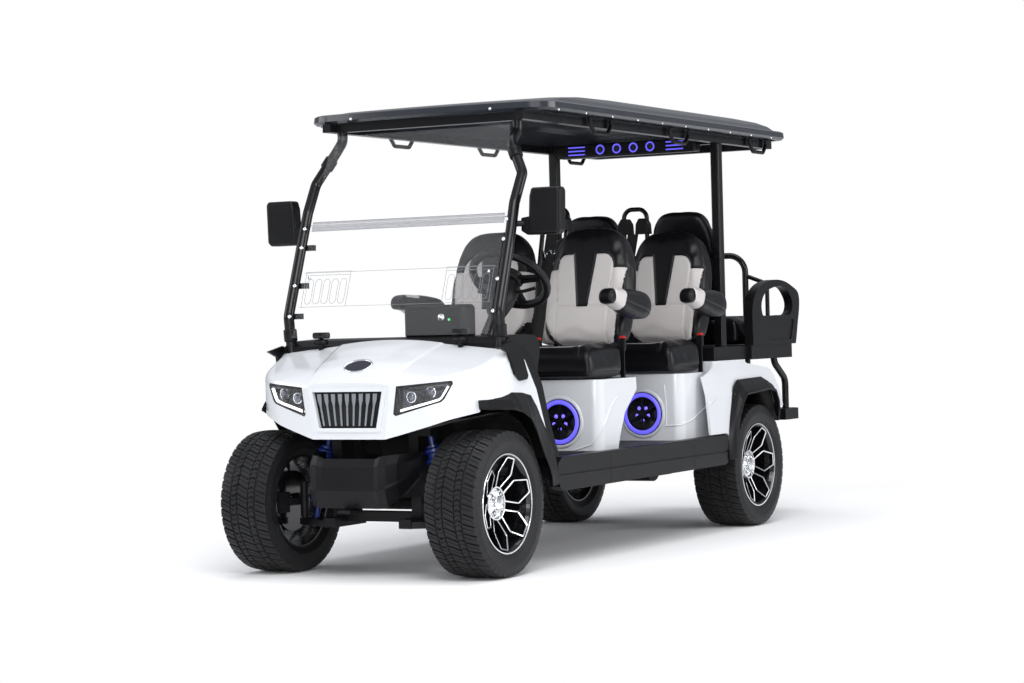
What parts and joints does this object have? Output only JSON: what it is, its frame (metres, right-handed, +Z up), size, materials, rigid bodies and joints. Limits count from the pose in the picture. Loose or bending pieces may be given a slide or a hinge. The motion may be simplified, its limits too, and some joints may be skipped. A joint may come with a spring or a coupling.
{
  "type": "electric golf cart",
  "caption": "Low-speed electric golf cart with two forward rows, a rear-facing bench, roof, folding-style clear windscreen, steered front wheels and rear footstep.",
  "frame": {"origin": "on the ground, midway along and across the cart's bounding box", "axes": "+Z up, the cart faces -Y, the driver's side (left of the vehicle) is +X"},
  "size_m": [1.4238, 3.6519, 1.974],
  "materials": {
    "white_paint": "gloss white moulded body panels",
    "black_plastic": "textured black moulding",
    "roof_plastic": "smooth dark grey-black roof moulding",
    "black_steel": "black powder coat",
    "frame_steel": "black painted frame steel",
    "seat_vinyl": "black stitched vinyl with light grey panels",
    "grille_chrome": "bright chrome bars",
    "tyre": "black tread rubber",
    "rim_alloy": "machined alloy with black pockets",
    "clear_acrylic": "clear acrylic",
    "coil_blue": "blue coil springs",
    "motor_cast": "cast drive motor",
    "battery_case": "battery case",
    "lamp": "clear lamp lens",
    "lamp_red": "red tail lamp lens",
    "speaker": "black speaker grille with a blue lit ring"
  },
  "bodies": {
    "body": {"a_pillars": "black_steel", "arch_liners": "black_plastic", "armrests": "seat_vinyl", "backrests": "seat_vinyl", "battery_pack": "battery_case", "benches": "seat_vinyl", "chassis_frame": "frame_steel", "cowl_trim": "black_plastic", "dash": "black_plastic", "deck": "black_plastic", "drive_motor": "motor_cast", "flares": "black_plastic", "floor_pan": "black_plastic", "footstep": "black_plastic", "front_arms": "frame_steel", "front_bumper": "black_plastic", "front_cowl": "white_paint", "front_housings": "black_plastic", "front_shocks": "coil_blue", "grab_handles": "black_steel", "grille": "grille_chrome", "headlamps": "lamp", "mirrors": "black_plastic", "pedals": "black_plastic", "rear_axle": "frame_steel", "rear_backrest": "seat_vinyl", "rear_body": "white_paint", "rear_grab_bar": "black_steel", "rear_pillars": "black_steel", "rear_suspension": "coil_blue", "rockers": "black_plastic", "roof": "roof_plastic", "roof_frame": "black_steel", "screen_clips": "black_plastic", "seat_belts": "black_plastic", "seat_frames": "black_steel", "seat_pod": "white_paint", "side_panels": "black_plastic", "sound_bar": "black_plastic", "speakers": "speaker", "steering_column": "black_steel", "steering_rack_housing": "frame_steel", "step_tubes": "black_steel", "tail_lamps": "lamp_red", "windscreen": "clear_acrylic"},
    "knuckle_left": {"knuckle_left": "frame_steel"},
    "knuckle_right": {"knuckle_right": "frame_steel"},
    "wheel_front_left": {"tyre_front_left": "tyre", "rim_front_left": "rim_alloy"},
    "wheel_front_right": {"tyre_front_right": "tyre", "rim_front_right": "rim_alloy"},
    "wheel_rear_left": {"tyre_rear_left": "tyre", "rim_rear_left": "rim_alloy"},
    "wheel_rear_right": {"tyre_rear_right": "tyre", "rim_rear_right": "rim_alloy"},
    "steering_wheel": {"steering_wheel": "black_plastic"},
    "steering_rack": {"steering_rack": "frame_steel"},
    "tie_rod_left": {"tie_rod_left": "frame_steel"},
    "tie_rod_right": {"tie_rod_right": "frame_steel"},
    "rear_seat": {"rear_cushion": "seat_vinyl"}
  },
  "joints": [
    {"name": "steer_left", "type": "hinge", "parent": "body", "child": "knuckle_left", "pos_m": [0.375, -1.534, 0.292], "axis": [0, 0, 1], "range_deg": [-26, 26]},
    {"name": "steer_right", "type": "hinge", "parent": "body", "child": "knuckle_right", "pos_m": [-0.375, -1.534, 0.292], "axis": [0, 0, 1], "range_deg": [-26, 26]},
    {"name": "roll_front_left", "type": "hinge", "parent": "knuckle_left", "child": "wheel_front_left", "pos_m": [0.4825, -1.534, 0.292], "axis": [1, 0, 0], "continuous": true},
    {"name": "roll_front_right", "type": "hinge", "parent": "knuckle_right", "child": "wheel_front_right", "pos_m": [-0.4825, -1.534, 0.292], "axis": [1, 0, 0], "continuous": true},
    {"name": "roll_rear_left", "type": "hinge", "parent": "body", "child": "wheel_rear_left", "pos_m": [0.4825, 0.926, 0.292], "axis": [1, 0, 0], "continuous": true},
    {"name": "roll_rear_right", "type": "hinge", "parent": "body", "child": "wheel_rear_right", "pos_m": [-0.4825, 0.926, 0.292], "axis": [1, 0, 0], "continuous": true},
    {"name": "steering_wheel_turn", "type": "hinge", "parent": "body", "child": "steering_wheel", "pos_m": [0.27, -0.908, 1.186], "axis": [0, 0.6606, 0.7507], "range_deg": [-364, 364]},
    {"name": "rack_slide", "type": "slide", "parent": "body", "child": "steering_rack", "axis": [1, 0, 0], "range_m": [-0.05, 0.05]},
    {"name": "tie_pivot_left", "type": "hinge", "parent": "knuckle_left", "child": "tie_rod_left", "pos_m": [0.375, -1.424, 0.28], "axis": [0, 0, 1], "range_deg": [-26, 26]},
    {"name": "tie_pivot_right", "type": "hinge", "parent": "knuckle_right", "child": "tie_rod_right", "pos_m": [-0.375, -1.424, 0.28], "axis": [0, 0, 1], "range_deg": [-26, 26]},
    {"name": "rear_seat_lift", "type": "hinge", "parent": "body", "child": "rear_seat", "pos_m": [0, 1.096, 0.8623], "axis": [1, 0, 0], "range_deg": [0, 45]}
  ],
  "couplings": [
    {"joint": "steer_right", "follows": "steer_left", "ratio": 1},
    {"joint": "steering_wheel_turn", "follows": "steer_left", "ratio": 14},
    {"joint": "rack_slide", "follows": "steer_left", "m_per_rad": -0.108},
    {"joint": "tie_pivot_left", "follows": "steer_left", "ratio": -1},
    {"joint": "tie_pivot_right", "follows": "steer_left", "ratio": -1}
  ]
}
